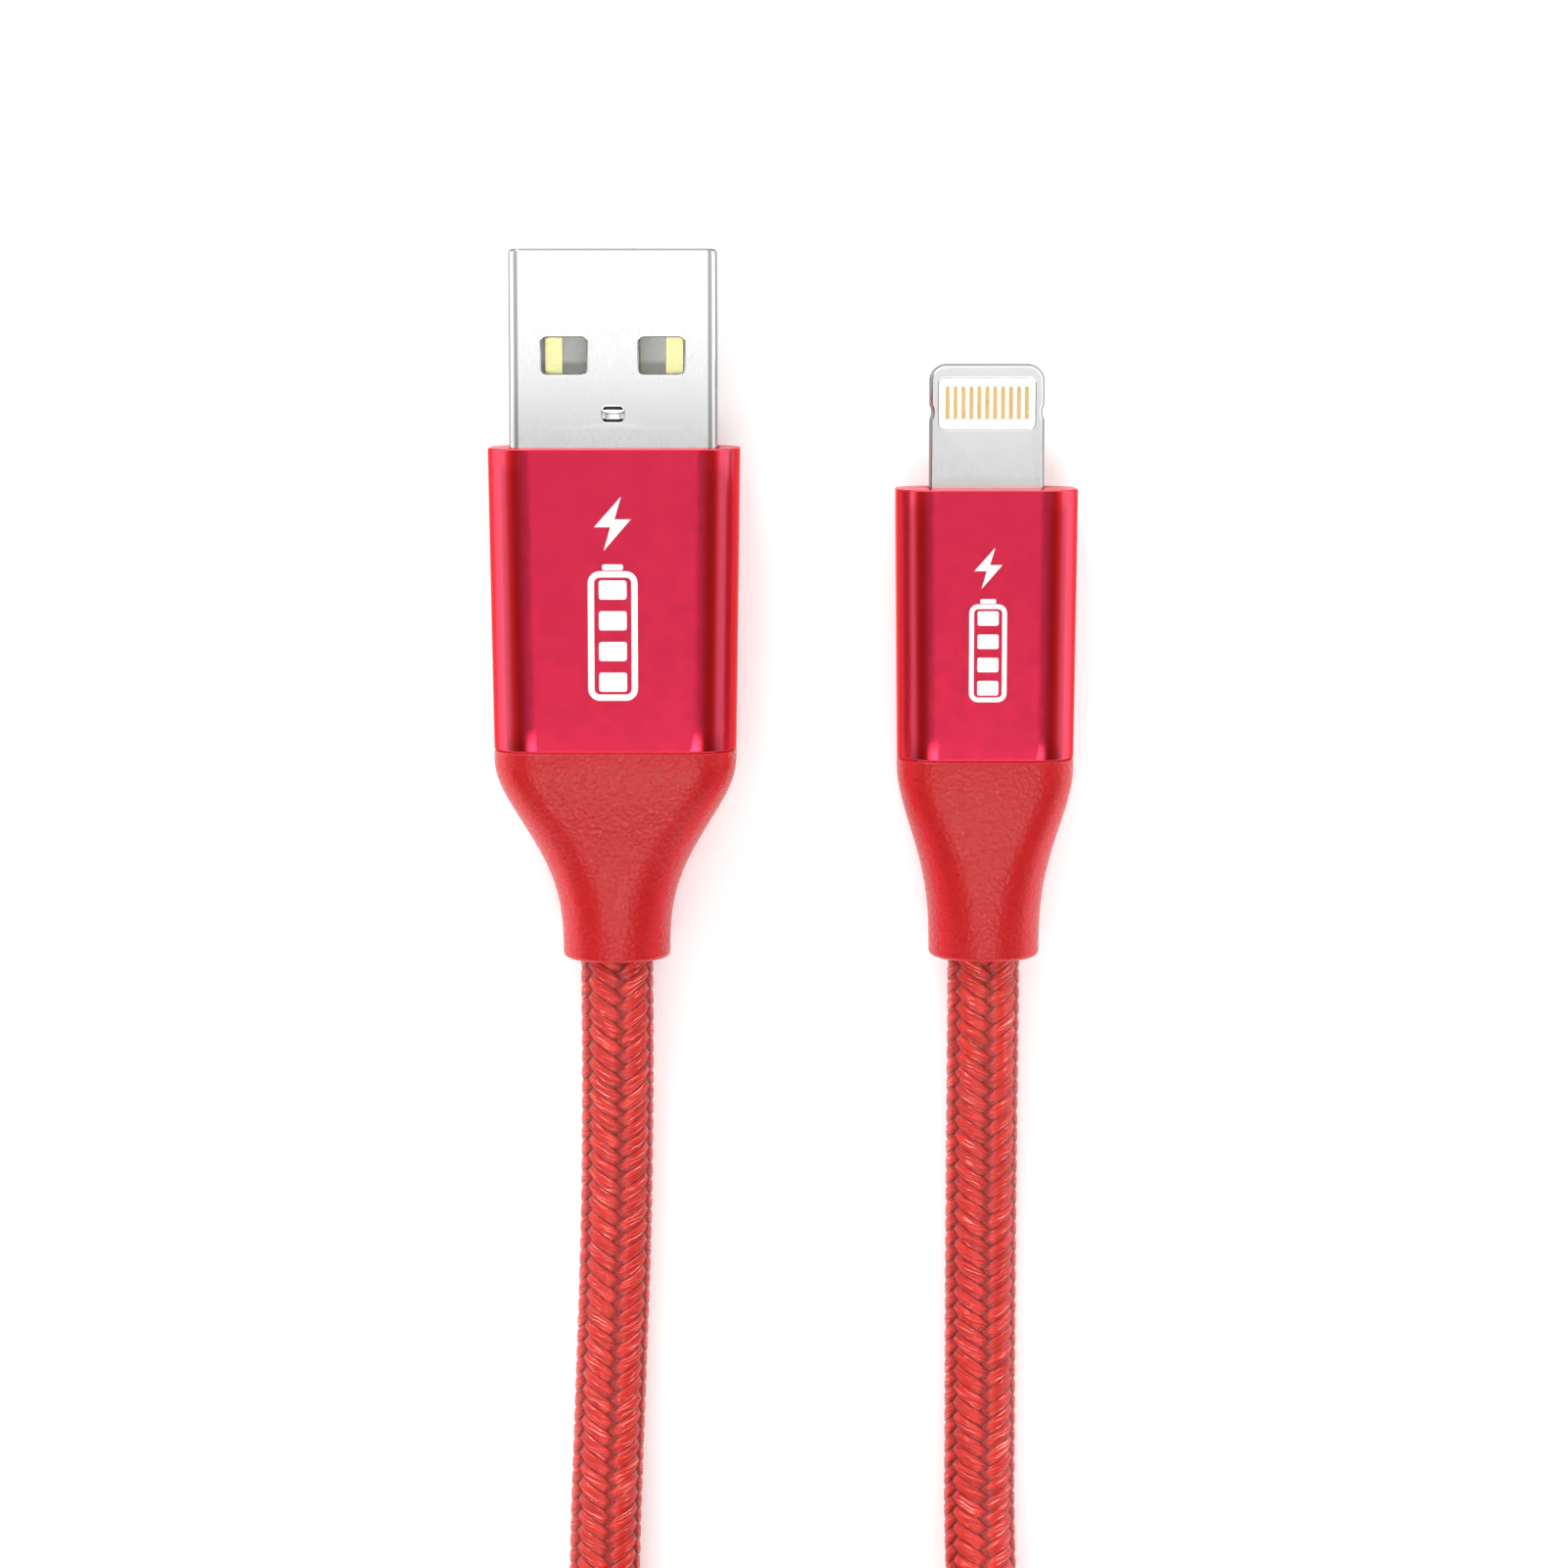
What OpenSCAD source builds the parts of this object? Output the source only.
// Braided charging cable: a USB-A plug and a reversible phone plug on one cord, lying flat side by side.
// Millimetres. The plugs point along +Y and rest on z = 0. The origin is under the middle of the two plugs.

/* [Cord] */
// Diameter of the braided cord
cord_d = 4.2; // [4.1:0.05:4.3]
// Height of one layer of the hank, which has two
layer_h = 4.2; // [4.1:0.05:4.3]

/* [USB plug] */
// Width of the metal shell
shell_w = 12; // [11.9:0.05:12.1]
// Thickness of the metal shell
shell_t = 4.5; // [4.4:0.05:4.6]
// Length of shell that stands out of the housing
shell_out = 11.4; // [11:0.1:12]
// Sheet thickness of the shell
sheet = 0.3; // [0.25:0.05:0.35]
// Width of the USB housing at its front
usb_w = 14.6; // [14:0.1:15.2]
// Width of the USB housing at its rear
usb_rear_w = 14.1; // [13.8:0.1:14.2]
// Thickness of the USB housing
usb_t = 7.6; // [7.4:0.1:8]
// Length of the USB housing
usb_len = 17.5; // [17:0.1:18]
// Length of the USB strain relief behind the housing
usb_relief_len = 12.4; // [12:0.1:13]
// Diameter of the USB strain relief at its thin end
usb_neck_d = 6.3; // [6:0.1:6.6]

/* [Phone plug] */
// Width of the metal tongue
tongue_w = 6.7; // [6.6:0.05:6.75]
// Thickness of the tongue
tongue_t = 1.5; // [1.45:0.05:1.55]
// Length of tongue that stands out of the housing
tongue_out = 7.2; // [7:0.1:7.5]
// Contacts on each face of the tongue
contact_count = 11; // [8:1:11]
// Width of the phone housing at its front
phone_w = 10.6; // [10.4:0.1:11]
// Width of the phone housing at its rear
phone_rear_w = 10.3; // [10.1:0.1:10.4]
// Thickness of the phone housing
phone_t = 6.6; // [6.6:0.1:7]
// Length of the phone housing
phone_len = 15.7; // [15.5:0.1:16.5]
// Length of the phone strain relief behind the housing
phone_relief_len = 11.8; // [11.5:0.1:12.5]
// Diameter of the phone strain relief at its thin end
phone_neck_d = 6.5; // [6.2:0.1:6.5]

/* [Housings] */
// Wall of the aluminium housings
wall = 0.8; // [0.7:0.05:0.9]
// Corner radius of the USB housing's section
usb_r = 2.7; // [2.4:0.1:3]
// Corner radius of the phone housing's section
phone_r = 2.4; // [2:0.1:2.8]

/* [Cable tie] */
// Width of the hook-and-loop strap around the hank
tie_w = 10; // [8:1:12]
// Thickness of the strap
tie_t = 1; // [0.8:0.1:1.1]

/* [Hidden] */

// Places of the two plugs: the middle of each plug across, and the front of each housing
plug_end = -20.65;
usb_x = -9.8;
usb_z = usb_t / 2;
usb_front = plug_end + usb_relief_len + usb_len;
phone_x = 11.8;
phone_z = phone_t / 2;
phone_front = plug_end + phone_relief_len + phone_len;

// Running gap between pieces of one plug, and a cut that goes clear through
gap = 0.05;
clear = 1;

// Inside of the USB plug, measured from the front of its housing
front_wall = 1;
shell_back = -6;
tails_back = -8.5;
usb_mold_back = -12.4;
contact_w = 1;
contact_t = 0.3;
contact_x = [-3.5, -1, 1, 3.5];
window_size = [2.6, 2.1];
window_x = 2.8;
window_from_tip = 6.1;
dimple_size = [1.3, 0.9];
dimple_depth = 0.12;
dimple_from_tip = 9.45;

// Inside of the phone plug, measured from the front of its housing
pad_size = [5.6, 3];
pad_from_tip = 2.3;
pad_r = 0.4;
pin_w = 0.23;
pin_l = 1.9;
pin_depth = 0.15;
pin_pitch = pad_size[0] / (contact_count + 1.2);
pin_from_tip = 2.25;
notch_from_tip = 2.8;
flange_back = -3;
board_back = -9.4;
board_t = 0.6;
phone_mold_back = -12.1;

// Wires, and the cut end of the cord's jacket that holds them
wire_r = 0.45;
wire_x = 0.62;
core_r = 1.45;
cord_r = cord_d / 2;
bore_r = cord_r + gap;
crimp_r = 2.45;
crimp_len = 1.6;
crimp_gap = 0.1;
tenon_len = 1.8;

// The flex of each strain relief turns about a point inside its thin end
pivot_inset = 4;
stub_gap = 1.5;

// Hank: end loops of two turns side by side, a waist pulled in by the tie, two layers
hank_x = 0.5;
hank_y = -113.5;
loop_y = 32;
inner_turn_r = 3 * cord_d;
hank_r = inner_turn_r + 1.5 * cord_d;
hank_hole_r = inner_turn_r - cord_r - 0.1;
waist_half = 2 * cord_d;
waist_drop = hank_r - waist_half;
waist_x = (loop_y * loop_y - waist_drop * waist_drop) / (2 * waist_drop);
hank_h = 2 * layer_h + tie_t + 0.1;

// Cord route from each strain relief to the hank
usb_route = [
    [-9.8, -17, 3.8], [-9.8, -22, 3.8], [-9.8, -26, 3.5], [-9.85, -30, 2.9], [-9.95, -35, 2.3],
    [-10.1, -40, 2.1], [-10.3, -45, 2.1], [-10.5, -50, 2.1], [-10.7, -55, 2.1], [-10.9, -60, 2.1],
    [-11.6, -65, 2.1], [-13.4, -70, 2.1]
];
phone_route = [
    [11.8, -17, 3.3], [11.8, -22, 3.3], [11.8, -26, 3.1], [11.8, -30, 2.7], [11.8, -35, 2.3],
    [11.8, -40, 2.1], [11.8, -45, 2.1], [11.8, -50, 2.2], [11.8, -55, 2.6], [12, -60, 3.6],
    [12.8, -65, 4.9], [14.5, -70, 5.8]
];

// Colours
red_aluminium = [0.78, 0.1, 0.18];
red_rubber = [0.7, 0.08, 0.1];
steel = [0.78, 0.78, 0.76];
gold = [0.85, 0.68, 0.35];
solder_grey = [0.65, 0.66, 0.68];
copper = [0.72, 0.45, 0.25];

// ---- Shapes that repeat ----

// Rectangle with round corners, centred
module rounded_outline(width, height, radius) {
    square([width - 2 * radius, height], center = true);
    square([width, height - 2 * radius], center = true);
    for (x = [-1, 1], y = [-1, 1])
        translate([x * (width / 2 - radius), y * (height / 2 - radius)])
            circle(r = radius, $fn = 48);
}

// Bar along Y with a round-cornered section
module bar(width, height, radius, front, back) {
    translate([0, front, 0]) rotate([90, 0, 0])
        linear_extrude(height = front - back) rounded_outline(width, height, radius);
}

// Flat box along Y, centred across and in height
module slab(width, height, front, back) {
    translate([-width / 2, back, -height / 2]) cube([width, front - back, height]);
}

// Rod along Y
module rod(radius, front, back) {
    translate([0, front, 0]) rotate([90, 0, 0]) cylinder(r = radius, h = front - back, $fn = 48);
}

// Round-cornered bar that narrows evenly to the rear: two bars that lean in, cut square at both ends
module tapered_bar(width, rear_width, height, radius, front, back) {
    lean = atan((width - rear_width) / 2 / (front - back));
    half_bar = 0.7 * width;
    intersection() {
        translate([-width, back, -height]) cube([2 * width, front - back, 2 * height]);
        union() {
            for (side = [-1, 1])
                translate([side * width / 2, front, 0]) rotate([0, 0, -side * lean])
                    translate([-side * half_bar / 2, 0, 0]) bar(half_bar, height, radius, clear, back - front - clear);
        }
    }
}

// Hollow housing: open at the rear, with a front wall
module housing(width, rear_width, height, radius, length) {
    difference() {
        tapered_bar(width, rear_width, height, radius, 0, -length);
        tapered_bar(width - 2 * wall, rear_width - 2 * wall, height - 2 * wall, radius - wall,
            -front_wall, -length - clear);
    }
}

// Smooth step from 0 to 1
function ease(t) = t <= 0 ? 0 : t >= 1 ? 1 : t * t * (3 - 2 * t);

// One ring of a strain relief: a round-cornered section, as [x, z] pairs
corner_steps = 6;
function section(half_w, half_h, radius) = [
    for (corner = [0 : 3], step = [0 : corner_steps - 1])
        let (
            angle = 90 * corner + 90 * (step + 0.5) / corner_steps,
            sx = corner == 0 || corner == 3 ? 1 : -1,
            sz = corner < 2 ? 1 : -1
        )
        [sx * (half_w - radius) + radius * cos(angle), sz * (half_h - radius) + radius * sin(angle)]
];

// Solid between rings of points, closed by its first and last ring
module loft(rings) {
    n = len(rings[0]);
    last = len(rings) - 1;
    points = [for (ring = rings, p = ring) p];
    sides = [
        for (i = [0 : last - 1], j = [0 : n - 1], half = [0, 1])
            let (a = i * n + j, b = i * n + (j + 1) % n)
            half == 0 ? [a, b, b + n] : [a, b + n, a + n]
    ];
    start = [[for (j = [n - 1 : -1 : 0]) j]];
    end = [[for (j = [0 : n - 1]) last * n + j]];
    polyhedron(points = points, faces = concat(sides, start, end), convexity = 4);
}

// Strain relief: the housing's section narrows in an S curve to a round neck
relief_rings = 14;
relief_shoulder = 0.05;
relief_skew = 1.5;
function narrowing(t) = ease(1 - pow(1 - max(0, t - relief_shoulder) / (1 - relief_shoulder), relief_skew));
module relief_body(half_w, half_h, radius, neck_r, length) {
    rings = [
        for (i = [0 : relief_rings])
            let (
                t = i / relief_rings,
                s = narrowing(t),
                edge = i == relief_rings ? 0.2 : 0
            )
            [for (p = section(
                half_w + (neck_r - half_w) * s - edge,
                half_h + (neck_r - half_h) * s - edge,
                radius + (neck_r - radius) * s - edge
            )) [-p[0], -t * length, p[1]]]
    ];
    loft(rings);
}

module strain_relief(rear_w, height, radius, neck_d, housing_len, length) {
    difference() {
        union() {
            translate([0, -housing_len, 0]) relief_body(rear_w / 2, height / 2, radius, neck_d / 2, length);
            bar(rear_w - 2 * wall - 2 * gap, height - 2 * wall - 2 * gap, radius - wall - gap,
                -housing_len + tenon_len, -housing_len);
        }
        rod(bore_r, -housing_len + tenon_len + clear, -housing_len - length - clear);
    }
}

// Tube swept through a route's points, with a flat end on each side
cord_sides = 12;
function unit(v) = v / norm(v);
function along(points, i) = unit(points[min(i + 1, len(points) - 1)] - points[max(i - 1, 0)]);
function cord_ring(points, i, radius) =
    let (ahead = along(points, i), side = unit(cross(ahead, [0, 0, 1])), up = cross(side, ahead))
    [for (j = [0 : cord_sides - 1])
        let (angle = 360 * j / cord_sides)
        points[i] + radius * (cos(angle) * side + sin(angle) * up)];
module swept_tube(points, radius) {
    loft([for (i = [0 : len(points) - 1]) cord_ring(points, i, radius)]);
}

// Wire: straight back from its solder joint, in to its place in the jacket in an S curve, then along it
wire_bends = 5;
module wire(start_x, start_z, start_y, side, level, jacket_y, end_y) {
    bend_y = start_y - 0.5;
    bend_len = bend_y - jacket_y;
    bends = [
        for (i = [0 : wire_bends])
            let (t = i / wire_bends, s = ease(t))
            [
                start_x + (side * wire_x - start_x) * s,
                bend_y - t * bend_len,
                start_z + (level * wire_x - start_z) * s
            ]
    ];
    swept_tube(concat([[start_x, start_y, start_z]], bends, [[side * wire_x, end_y, level * wire_x]]), wire_r);
}

// ---- USB plug, in its own frame: +Y out of the housing's front, z = 0 at mid height ----

module place_usb() {
    translate([usb_x, usb_front, usb_z]) children();
}

module usb_windows(depth) {
    for (x = [-window_x, window_x])
        translate([x, shell_out - window_from_tip, 0])
            linear_extrude(height = depth, center = true) rounded_outline(window_size[0], window_size[1], 0.3);
}

module usb_shell() {
    color(steel) place_usb() difference() {
        bar(shell_w, shell_t, 0.5, shell_out, shell_back);
        bar(shell_w - 2 * sheet, shell_t - 2 * sheet, 0.2, shell_out + clear, shell_back - clear);
        usb_windows(2 * shell_t);
        translate([0, shell_out - dimple_from_tip, shell_t / 2 - dimple_depth])
            linear_extrude(height = clear) rounded_outline(dimple_size[0], dimple_size[1], 0.3);
    }
}

inner_w = shell_w - 2 * sheet - 2 * gap;
inner_t = shell_t - 2 * sheet - 2 * gap;
tongue_front = 10.9;
block_front = -1;

module usb_contact_rows(grow, columns, front) {
    for (i = columns)
        translate([contact_x[i], 0, 0]) slab(contact_w + 2 * grow, contact_t + 2 * grow, front + grow, tails_back);
}

module usb_insulator() {
    color("gainsboro") place_usb() difference() {
        union() {
            translate([-inner_w / 2, shell_back, -inner_t / 2])
                cube([inner_w, tongue_front - shell_back, inner_t / 2]);
            slab(inner_w, inner_t, block_front, shell_back);
        }
        usb_contact_rows(0.02, [0 : 3], tongue_front - 0.9);
    }
}

module usb_power_contacts() {
    color(gold) place_usb() usb_contact_rows(0, [0, 3], tongue_front - 1);
}

module usb_data_contacts() {
    color(gold) place_usb() usb_contact_rows(0, [1, 2], tongue_front - 2);
}

solder_r = 0.6;
solder_front = -7;
module usb_solder() {
    color(solder_grey) place_usb() for (x = contact_x)
        translate([x, 0, contact_t / 2]) difference() {
            rod(solder_r, solder_front, tails_back);
            translate([-clear, tails_back - clear, -2 * clear]) cube([2 * clear, 4 * clear, 2 * clear]);
        }
}

usb_wire_z = contact_t / 2 + wire_r;
module usb_wire(i, level) {
    place_usb() wire(contact_x[i], usb_wire_z, tails_back, sign(contact_x[i]), level, usb_mold_back,
        -usb_len - usb_relief_len + pivot_inset + stub_gap);
}

module usb_wire_red() { color("red") usb_wire(0, 1); }

module usb_wire_white() { color("white") usb_wire(1, -1); }

module usb_wire_green() { color("green") usb_wire(2, -1); }

module usb_wire_black() { color("black") usb_wire(3, 1); }

module usb_inner_mold() {
    color("ivory") difference() {
        place_usb() bar(inner_w, 5.2, 1, shell_back, usb_mold_back);
        place_usb() usb_contact_rows(0, [0 : 3], 0);
        usb_solder();
        usb_wire_red();
        usb_wire_white();
        usb_wire_green();
        usb_wire_black();
    }
}

// Ring of soft copper pressed round the jacket just behind the inner mould
module crimp(front) {
    difference() {
        rod(crimp_r, front, front - crimp_len);
        rod(cord_r + 0.02, front + clear, front - crimp_len - clear);
    }
}

module jacket_end(front, back) {
    difference() {
        rod(cord_r, front, back);
        rod(core_r, front + clear, back - clear);
    }
}

module usb_crimp() { color(copper) place_usb() crimp(usb_mold_back - crimp_gap); }

module usb_jacket_end() {
    color(red_rubber) place_usb()
        jacket_end(usb_mold_back, -usb_len - usb_relief_len + pivot_inset + stub_gap);
}

module usb_housing() {
    color(red_aluminium) place_usb() difference() {
        housing(usb_w, usb_rear_w, usb_t, usb_r, usb_len);
        bar(shell_w + 2 * gap, shell_t + 2 * gap, 0.5 + gap, clear, -front_wall - clear);
    }
}

module usb_strain_relief() {
    color(red_rubber) place_usb()
        strain_relief(usb_rear_w, usb_t, usb_r, usb_neck_d, usb_len, usb_relief_len);
}

// ---- Phone plug, in its own frame: +Y out of the housing's front, z = 0 at mid height ----

module place_phone() {
    translate([phone_x, phone_front, phone_z]) children();
}

module tongue_outline() {
    tip_r = 1.15;
    for (x = [-1, 1])
        translate([x * (tongue_w / 2 - tip_r), tongue_out - tip_r]) circle(r = tip_r, $fn = 48);
    translate([-tongue_w / 2, flange_back]) square([tongue_w, tongue_out - flange_back - tip_r]);
    translate([-tongue_w / 2 + tip_r, tongue_out - 2 * tip_r]) square([tongue_w - 2 * tip_r, 2 * tip_r]);
}

module pad_outline() {
    translate([0, tongue_out - pad_from_tip]) rounded_outline(pad_size[0], pad_size[1], pad_r);
}

channel_w = 5;
channel_t = 0.7;
pad_back = tongue_out - pad_from_tip - pad_size[1] / 2;
notch_r = 0.8;
module phone_frame() {
    color(steel) place_phone() difference() {
        union() {
            linear_extrude(height = tongue_t, center = true) tongue_outline();
            bar(8.4, 3.2, 0.5, -front_wall, flange_back);
        }
        linear_extrude(height = 4 * tongue_t, center = true) pad_outline();
        slab(channel_w, channel_t, pad_back + 0.5, flange_back - clear);
        for (x = [-1, 1])
            translate([x * (tongue_w / 2 + notch_r - 0.2), tongue_out - notch_from_tip, -tongue_t])
                cylinder(r = notch_r, h = 2 * tongue_t, $fn = 48);
    }
}

module pins() {
    for (i = [0 : contact_count - 1])
        translate([(i - (contact_count - 1) / 2) * pin_pitch, tongue_out - pin_from_tip])
            rounded_outline(pin_w, pin_l, 0.1);
}

module phone_insert() {
    color("white") place_phone() difference() {
        linear_extrude(height = tongue_t, center = true) pad_outline();
        for (side = [-1, 1])
            translate([0, 0, side * tongue_t / 2]) linear_extrude(height = 2 * pin_depth, center = true) pins();
    }
}

module phone_contacts_top() {
    color(gold) place_phone() translate([0, 0, tongue_t / 2 - pin_depth]) linear_extrude(height = pin_depth) pins();
}

module phone_contacts_bottom() {
    color(gold) place_phone() translate([0, 0, -tongue_t / 2]) linear_extrude(height = pin_depth) pins();
}

board_w = 7;
module phone_circuit_board() {
    color("darkgreen") place_phone() {
        slab(channel_w - 2 * gap, board_t, pad_back, flange_back - 1);
        slab(board_w, board_t, flange_back - 0.2, board_back);
    }
}

module phone_chip() {
    color("dimgray") place_phone()
        translate([0, -5.4, board_t / 2]) linear_extrude(height = 0.8) square([3, 2.6], center = true);
}

module phone_passives() {
    color("tan") place_phone() for (x = [-2.7, -1.35, 0, 1.35, 2.7], y = [-4.6, -6.4])
        translate([x, y, -board_t / 2 - 0.5]) linear_extrude(height = 0.5) square([0.5, 1], center = true);
}

shield_w = 8.4;
shield_t = 3.6;
module phone_shield() {
    color(steel) place_phone() difference() {
        bar(shield_w, shield_t, 0.4, flange_back - 0.1, board_back - 0.2);
        bar(shield_w - 0.4, shield_t - 0.4, 0.2, flange_back + clear, board_back - 2 * clear);
    }
}

phone_wire_x = [-2.4, -0.8, 0.8, 2.4];
pads_front = -8;
phone_wires_from = -8.8;
module phone_solder() {
    color(solder_grey) place_phone() for (x = phone_wire_x)
        translate([x, 0, board_t / 2]) difference() {
            rod(0.55, pads_front, phone_wires_from);
            translate([-clear, -10, -2 * clear]) cube([2 * clear, 4, 2 * clear]);
        }
}

phone_wire_z = board_t / 2 + wire_r;
module phone_wire(i, level) {
    place_phone() wire(phone_wire_x[i], phone_wire_z, phone_wires_from, sign(phone_wire_x[i]), level,
        phone_mold_back, -phone_len - phone_relief_len + pivot_inset + stub_gap);
}

module phone_wire_red() { color("red") phone_wire(0, 1); }

module phone_wire_white() { color("white") phone_wire(1, -1); }

module phone_wire_green() { color("green") phone_wire(2, -1); }

module phone_wire_black() { color("black") phone_wire(3, 1); }

module phone_inner_mold() {
    color("ivory") difference() {
        place_phone() bar(shield_w, 4.6, 1, board_back - 0.25, phone_mold_back);
        phone_wire_red();
        phone_wire_white();
        phone_wire_green();
        phone_wire_black();
    }
}

module phone_crimp() { color(copper) place_phone() crimp(phone_mold_back - crimp_gap); }

module phone_jacket_end() {
    color(red_rubber) place_phone()
        jacket_end(phone_mold_back, -phone_len - phone_relief_len + pivot_inset + stub_gap);
}

module phone_housing() {
    color(red_aluminium) place_phone() difference() {
        housing(phone_w, phone_rear_w, phone_t, phone_r, phone_len);
        bar(tongue_w + 2 * gap, tongue_t + 2 * gap, 0.3, clear, -front_wall - clear);
    }
}

module phone_strain_relief() {
    color(red_rubber) place_phone()
        strain_relief(phone_rear_w, phone_t, phone_r, phone_neck_d, phone_len, phone_relief_len);
}

// ---- Cord, hank and tie ----

module cord_usb_lead() { color(red_rubber) swept_tube(usb_route, cord_r); }

module cord_phone_lead() { color(red_rubber) swept_tube(phone_route, cord_r); }

// Arc of a circle as points, from one angle to another
function arc(x, y, radius, from, to, steps) = [
    for (i = [0 : steps])
        let (angle = from + (to - from) * i / steps)
        [x + radius * cos(angle), y + radius * sin(angle)]
];

// Outline of the hank: two round ends and a waist between two hollow arcs
module hank_outline() {
    lean = atan2(loop_y, waist_x);
    hollow_r = waist_x - waist_half;
    polygon(concat(
        arc(0, loop_y, hank_r, -lean, 180 + lean, 24),
        arc(-waist_x, 0, hollow_r, lean - 6, 6 - lean, 6),
        arc(0, -loop_y, hank_r, 180 - lean, 360 + lean, 24),
        arc(waist_x, 0, hollow_r, 174 + lean, 186 - lean, 6)
    ));
}

bundle_w = 2 * waist_half;
bundle_z = tie_t + gap + layer_h;
module cord_hank() {
    slot = tie_w / 2 + 0.3;
    color(red_rubber) translate([hank_x, hank_y, 0]) {
        difference() {
            linear_extrude(height = hank_h) hank_outline();
            translate([-hank_r, -slot, -clear]) cube([2 * hank_r, 2 * slot, hank_h + 2 * clear]);
            for (y = [-loop_y, loop_y])
                translate([0, y, -clear]) cylinder(r = hank_hole_r, h = hank_h + 2 * clear, $fn = 64);
        }
        translate([0, 0, bundle_z]) bar(bundle_w, 2 * layer_h, cord_r, slot + clear, -slot - clear);
    }
}

module cable_tie() {
    inner_h = 2 * layer_h + 2 * gap;
    color([0.08, 0.08, 0.09]) translate([hank_x, hank_y, bundle_z]) {
        difference() {
            bar(bundle_w + 2 * gap + 2 * tie_t, inner_h + 2 * tie_t, cord_r + tie_t, tie_w / 2, -tie_w / 2);
            bar(bundle_w + 2 * gap, inner_h, cord_r, tie_w, -tie_w);
        }
        translate([-4, -tie_w / 2, inner_h / 2 + tie_t - 0.1]) cube([10, tie_w, tie_t]);
    }
}

usb_shell();
usb_insulator();
usb_power_contacts();
usb_data_contacts();
usb_solder();
usb_inner_mold();
usb_wire_red();
usb_wire_white();
usb_wire_green();
usb_wire_black();
usb_crimp();
usb_jacket_end();
usb_housing();
usb_strain_relief();
phone_frame();
phone_insert();
phone_contacts_top();
phone_contacts_bottom();
phone_circuit_board();
phone_chip();
phone_passives();
phone_shield();
phone_solder();
phone_inner_mold();
phone_wire_red();
phone_wire_white();
phone_wire_green();
phone_wire_black();
phone_crimp();
phone_jacket_end();
phone_housing();
phone_strain_relief();
cord_usb_lead();
cord_hank();
cord_phone_lead();
cable_tie();
